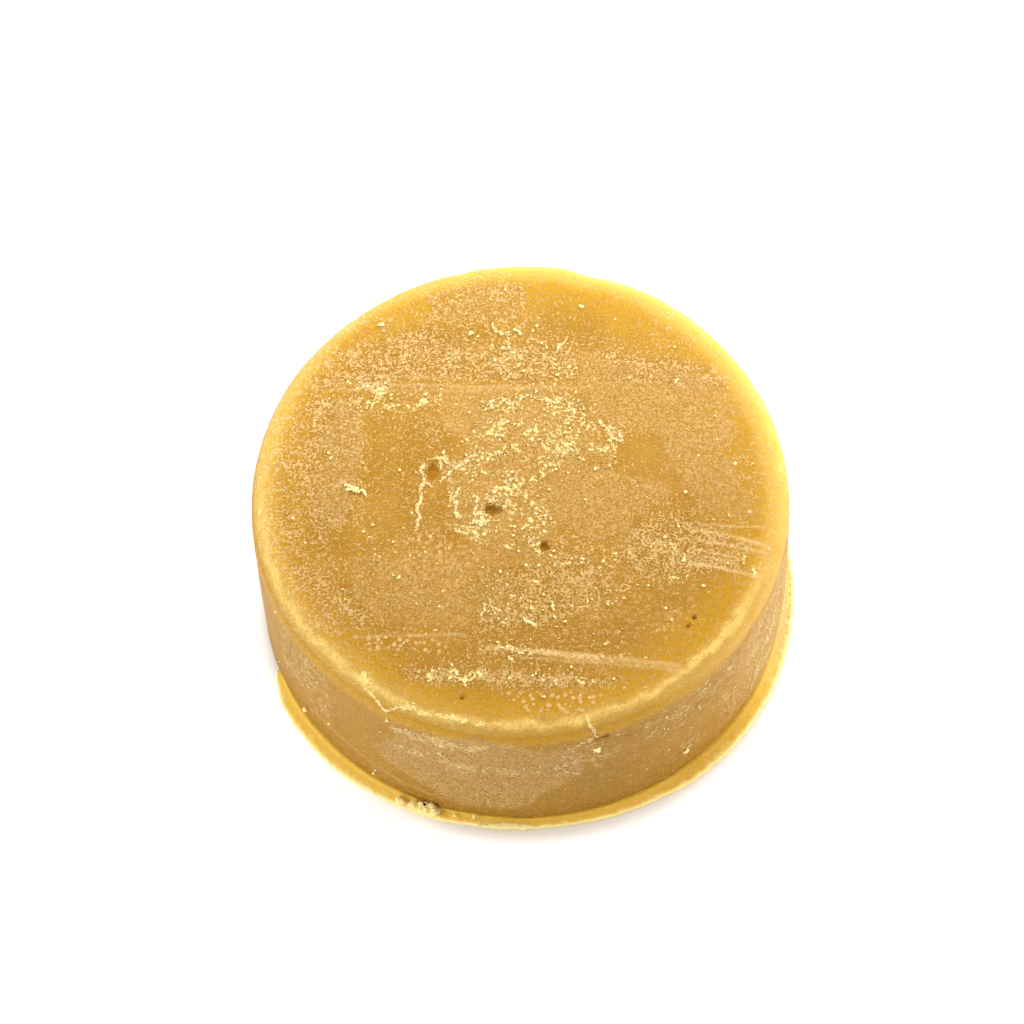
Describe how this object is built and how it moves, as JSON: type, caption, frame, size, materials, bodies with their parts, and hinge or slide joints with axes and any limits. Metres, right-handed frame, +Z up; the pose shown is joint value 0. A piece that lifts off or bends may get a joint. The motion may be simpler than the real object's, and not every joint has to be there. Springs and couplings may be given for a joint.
{
  "type": "shaving soap puck",
  "caption": "Round cast puck of shaving soap with a rounded top rim, a thin lip round part of its base, small surface pits and loose dried crumbs and flakes.",
  "frame": {"origin": "centre of the flat base the puck rests on", "axes": "+Z up out of the round top face, -Y to the front, +X to the right"},
  "size_m": [0.0718, 0.0734, 0.0276],
  "materials": {
    "cast_soap": "waxy translucent ochre with a pale dried bloom, semi-matte",
    "lip_soap": "thin translucent golden soap, satin",
    "dry_soap": "dry crumbly cream soap, matte"
  },
  "bodies": {
    "root": {"soap_body": "cast_soap", "base_lip": "lip_soap", "lip_peel": "dry_soap", "lip_crumb_large": "dry_soap", "lip_crumb_middle": "dry_soap", "lip_crumb_left": "dry_soap", "lip_crumb_small": "dry_soap", "lip_sliver": "dry_soap", "wall_flake": "dry_soap", "wall_bead_left": "dry_soap", "wall_bead_front": "dry_soap", "wall_grain_right": "dry_soap", "top_flake": "dry_soap", "top_crumb_back": "dry_soap", "top_crumb_centre_back": "dry_soap", "top_crumb_left_back": "dry_soap", "top_crumb_far_left": "dry_soap", "top_crumb_right_back": "dry_soap", "top_crumb_right": "dry_soap"}
  },
  "joints": []
}
